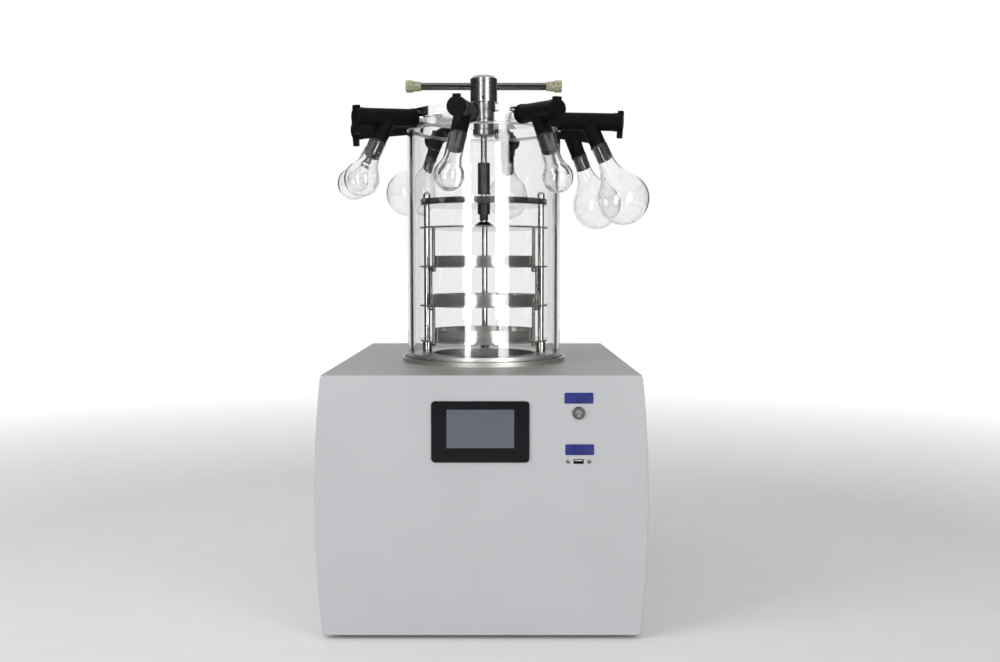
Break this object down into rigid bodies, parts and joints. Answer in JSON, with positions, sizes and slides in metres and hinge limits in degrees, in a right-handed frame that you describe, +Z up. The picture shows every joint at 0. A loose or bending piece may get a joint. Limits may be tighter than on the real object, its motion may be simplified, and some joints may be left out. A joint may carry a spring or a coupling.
{
  "type": "freeze dryer",
  "caption": "Bench-top laboratory freeze dryer: cabinet with touch screen, clear drying chamber with stoppering shelves under a T-handle, and a manifold lid of valves with flasks.",
  "frame": {"origin": "on the bench, in the middle of the room that the machine with its flasks takes up", "axes": "+Z up, +Y to the back of the cabinet, +X to the right of someone who faces the screen"},
  "size_m": [0.512, 0.6375, 0.8445],
  "materials": {
    "cabinet_paint": "fine satin powder coat",
    "top_paint": "fine satin powder coat",
    "foot_rubber": "matte",
    "screen_black": "smooth satin",
    "screen_glass": "glossy, screen dark",
    "button_steel": "turned",
    "socket_steel": "plated",
    "inlet_black": "moulded",
    "rocker_black": "moulded",
    "pipe_steel": "satin",
    "trap_steel": "satin",
    "foam": "rigid foam",
    "compressor_black": "semi-gloss",
    "fins": "plain",
    "fan_black": "moulded",
    "silicone": "translucent",
    "acrylic": "clear, polished",
    "gland_steel": "turned",
    "handle_steel": "polished",
    "grip_plastic": "moulded",
    "press_black": "blackened",
    "rack_steel": "polished",
    "nut_steel": "polished",
    "tray_steel": "satin",
    "valve_rubber": "smooth",
    "stopper_rubber": "smooth",
    "knob_black": "moulded",
    "flask_glass": "clear"
  },
  "bodies": {
    "base": {"cabinet_shell": "cabinet_paint", "front_panel": "cabinet_paint", "rear_panel": "cabinet_paint", "top_panel": "top_paint", "feet": "foot_rubber", "screen_bezel": "screen_black", "screen_display": "screen_glass", "button_bezel": "button_steel", "usb_socket": "socket_steel", "mains_inlet": "inlet_black", "vacuum_port": "pipe_steel", "cold_trap": "trap_steel", "rack_base": "trap_steel", "trap_insulation": "foam", "compressor": "compressor_black", "condenser": "fins", "fan_frame": "fan_black", "gaskets": "silicone", "chamber_tube": "acrylic", "manifold_lid": "acrylic", "lid_gland": "gland_steel", "lock_rings": "gland_steel", "press_nut": "press_black", "rack_posts": "rack_steel", "rack_top_plate": "rack_steel", "shelf_4": "rack_steel", "post_nuts": "nut_steel", "tray_4": "tray_steel", "valve_bodies": "valve_rubber", "flask_stoppers": "stopper_rubber", "flasks_50ml": "flask_glass", "flasks_100ml": "flask_glass", "flasks_200ml": "flask_glass", "flasks_300ml": "flask_glass"},
    "handle": {"handle_hub": "handle_steel", "handle_bar": "handle_steel", "handle_grips": "grip_plastic", "handle_rod": "handle_steel", "drive_sleeve": "press_black"},
    "press_plate": {"shelf_1": "rack_steel", "press_foot": "rack_steel", "link_pins_1": "rack_steel"},
    "press_screw": {"press_screw": "rack_steel"},
    "shelf_2": {"shelf_2": "rack_steel", "tray_2": "tray_steel", "link_pins_2": "rack_steel"},
    "shelf_3": {"shelf_3": "rack_steel", "tray_3": "tray_steel", "link_pins_3": "rack_steel"},
    "push_button": {"push_button": "button_steel"},
    "mains_switch": {"mains_switch": "rocker_black"},
    "condenser_fan": {"condenser_fan": "fan_black"},
    "valve_knob_1": {"valve_knob_1": "knob_black"},
    "valve_knob_2": {"valve_knob_2": "knob_black"},
    "valve_knob_3": {"valve_knob_3": "knob_black"},
    "valve_knob_4": {"valve_knob_4": "knob_black"},
    "valve_knob_5": {"valve_knob_5": "knob_black"},
    "valve_knob_6": {"valve_knob_6": "knob_black"},
    "valve_knob_7": {"valve_knob_7": "knob_black"},
    "valve_knob_8": {"valve_knob_8": "knob_black"}
  },
  "joints": [
    {"name": "handle_turn", "type": "hinge", "parent": "base", "child": "handle", "pos_m": [-0.0075, -0.068, 0.829], "axis": [0, 0, 1], "range_deg": [-3240, 0]},
    {"name": "press_slide", "type": "slide", "parent": "base", "child": "press_plate", "axis": [0, 0, 1], "range_m": [-0.027, 0]},
    {"name": "screw_turn", "type": "hinge", "parent": "press_plate", "child": "press_screw", "pos_m": [-0.0075, -0.068, 0.605], "axis": [0, 0, 1], "range_deg": [-3240, 0]},
    {"name": "shelf_2_slide", "type": "slide", "parent": "base", "child": "shelf_2", "axis": [0, 0, 1], "range_m": [-0.018, 0]},
    {"name": "shelf_3_slide", "type": "slide", "parent": "base", "child": "shelf_3", "axis": [0, 0, 1], "range_m": [-0.009, 0]},
    {"name": "button_press", "type": "slide", "parent": "base", "child": "push_button", "axis": [0, 1, 0], "range_m": [0, 0.002], "stiffness_N_per_m": 500, "springref_m": -0.001},
    {"name": "mains_rocker", "type": "hinge", "parent": "base", "child": "mains_switch", "pos_m": [-0.1575, 0.2965, 0.089], "axis": [1, 0, 0], "range_deg": [0, 16]},
    {"name": "fan_spin", "type": "hinge", "parent": "base", "child": "condenser_fan", "pos_m": [0.0875, 0.28, 0.105], "axis": [0, 1, 0], "continuous": true},
    {"name": "valve_1_turn", "type": "hinge", "parent": "base", "child": "valve_knob_1", "pos_m": [0.09913, -0.00393, 0.769], "axis": [0.856, 0.5143, -0.0523], "range_deg": [0, 180]},
    {"name": "valve_2_turn", "type": "hinge", "parent": "base", "child": "valve_knob_2", "pos_m": [0.0226, 0.05271, 0.769], "axis": [0.2416, 0.969, -0.0523], "range_deg": [0, 180]},
    {"name": "valve_3_turn", "type": "hinge", "parent": "base", "child": "valve_knob_3", "pos_m": [-0.07157, 0.03863, 0.769], "axis": [-0.5143, 0.856, -0.0523], "range_deg": [0, 180]},
    {"name": "valve_4_turn", "type": "hinge", "parent": "base", "child": "valve_knob_4", "pos_m": [-0.12821, -0.03791, 0.769], "axis": [-0.969, 0.2416, -0.0523], "range_deg": [0, 180]},
    {"name": "valve_5_turn", "type": "hinge", "parent": "base", "child": "valve_knob_5", "pos_m": [-0.11413, -0.13207, 0.769], "axis": [-0.856, -0.5143, -0.0523], "range_deg": [0, 180]},
    {"name": "valve_6_turn", "type": "hinge", "parent": "base", "child": "valve_knob_6", "pos_m": [-0.02696, -0.19087, 0.769], "axis": [-0.1562, -0.9863, -0.0523], "range_deg": [0, 180]},
    {"name": "valve_7_turn", "type": "hinge", "parent": "base", "child": "valve_knob_7", "pos_m": [0.05281, -0.1768, 0.769], "axis": [0.4841, -0.8734, -0.0523], "range_deg": [0, 180]},
    {"name": "valve_8_turn", "type": "hinge", "parent": "base", "child": "valve_knob_8", "pos_m": [0.11321, -0.0981, 0.769], "axis": [0.969, -0.2416, -0.0523], "range_deg": [0, 180]}
  ],
  "couplings": [
    {"joint": "press_slide", "follows": "handle_turn", "m_per_rad": 0.00047746},
    {"joint": "screw_turn", "follows": "handle_turn", "ratio": 1},
    {"joint": "shelf_2_slide", "follows": "handle_turn", "m_per_rad": 0.00031831},
    {"joint": "shelf_3_slide", "follows": "handle_turn", "m_per_rad": 0.00015915}
  ]
}
